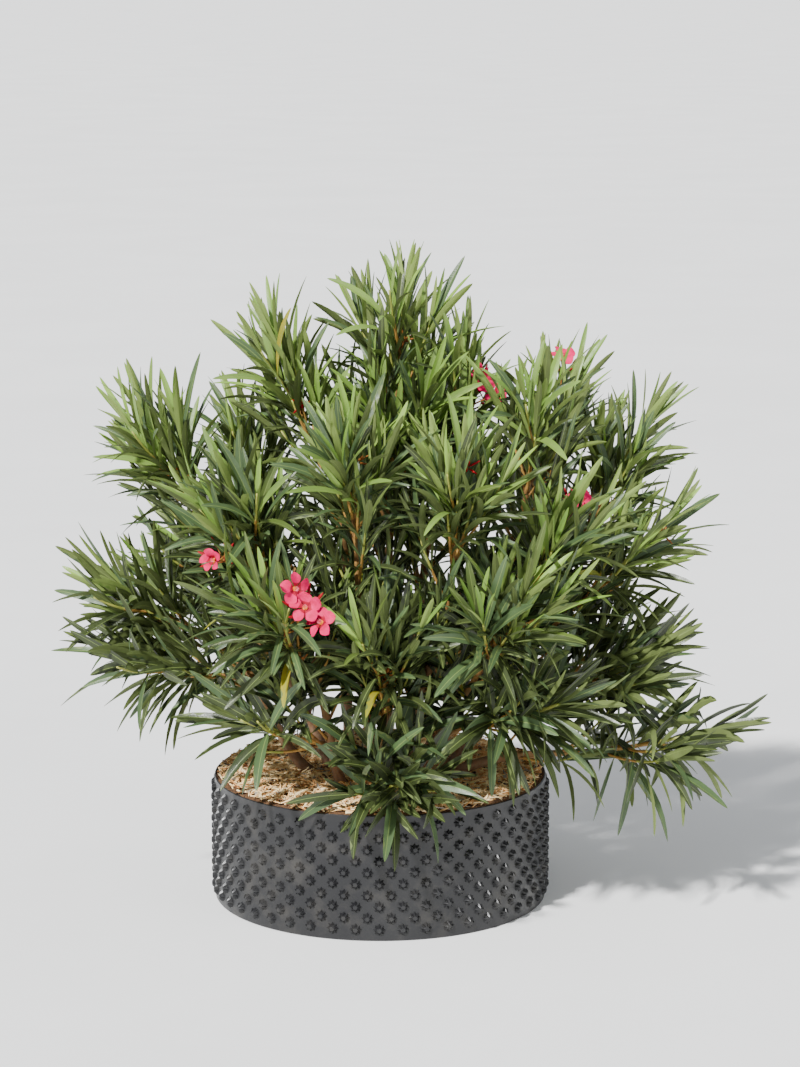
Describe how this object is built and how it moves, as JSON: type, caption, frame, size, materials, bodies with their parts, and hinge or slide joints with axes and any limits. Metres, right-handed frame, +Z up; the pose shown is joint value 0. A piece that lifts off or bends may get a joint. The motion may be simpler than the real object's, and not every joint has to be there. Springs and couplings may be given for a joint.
{
  "type": "potted oleander shrub",
  "caption": "Potted oleander: a shrub of many canes with narrow whorled leaves and rose-pink blossom, in a low black root-training pot with a cusped wall.",
  "frame": {"origin": "centre of the pot's flat underside", "axes": "+Z up along the pot's axis; -Y is the side that faces the viewer, +X to the viewer's right"},
  "size_m": [1.179, 0.9326, 1.0921],
  "materials": {
    "pot": "moulded black polyethylene sheet, half gloss",
    "mulch": "pale dry wood chip, matt",
    "cane_bark": "smooth brown bark, matt",
    "young_bark": "smooth young bark, satin",
    "foliage": "leathery leaf, satin"
  },
  "bodies": {
    "root": {"bough_back_centre": "young_bark", "bough_back_low_right": "young_bark", "bough_back_top": "young_bark", "bough_left_low": "young_bark", "bough_left_mid": "young_bark", "bough_right_front_low": "young_bark", "bough_right_inner": "young_bark", "bough_right_low": "young_bark", "bough_right_top_back": "young_bark", "bough_right_top_front": "young_bark", "bough_upper_left_back": "young_bark", "cane_back_left": "cane_bark", "cane_back_right": "cane_bark", "cane_centre_left": "cane_bark", "cane_centre_right": "cane_bark", "cane_front_mid": "cane_bark", "cane_left_front": "cane_bark", "cane_left_outer": "cane_bark", "cane_left_top": "cane_bark", "cane_right_front": "cane_bark", "cane_right_hanging": "cane_bark", "cane_right_mid": "cane_bark", "cane_right_top_outer": "cane_bark", "cane_top_centre": "cane_bark", "cane_top_left": "cane_bark", "cane_top_right": "cane_bark", "foliage_back_centre": "foliage", "foliage_back_left": "foliage", "foliage_back_low_left": "foliage", "foliage_back_low_right": "foliage", "foliage_back_right": "foliage", "foliage_back_top": "foliage", "foliage_centre_left": "foliage", "foliage_centre_right": "foliage", "foliage_centre_upper": "foliage", "foliage_front_drape": "foliage", "foliage_front_mid": "foliage", "foliage_left_bottom": "foliage", "foliage_left_front": "foliage", "foliage_left_low": "foliage", "foliage_left_mid": "foliage", "foliage_left_outer": "foliage", "foliage_left_top": "foliage", "foliage_right_front": "foliage", "foliage_right_front_low": "foliage", "foliage_right_hanging": "foliage", "foliage_right_inner": "foliage", "foliage_right_low": "foliage", "foliage_right_mid": "foliage", "foliage_right_top_back": "foliage", "foliage_right_top_front": "foliage", "foliage_right_top_outer": "foliage", "foliage_top_centre": "foliage", "foliage_top_left": "foliage", "foliage_top_right": "foliage", "foliage_upper_centre": "foliage", "foliage_upper_left_back": "foliage", "pot": "pot", "root_ball": "mulch"}
  },
  "joints": []
}
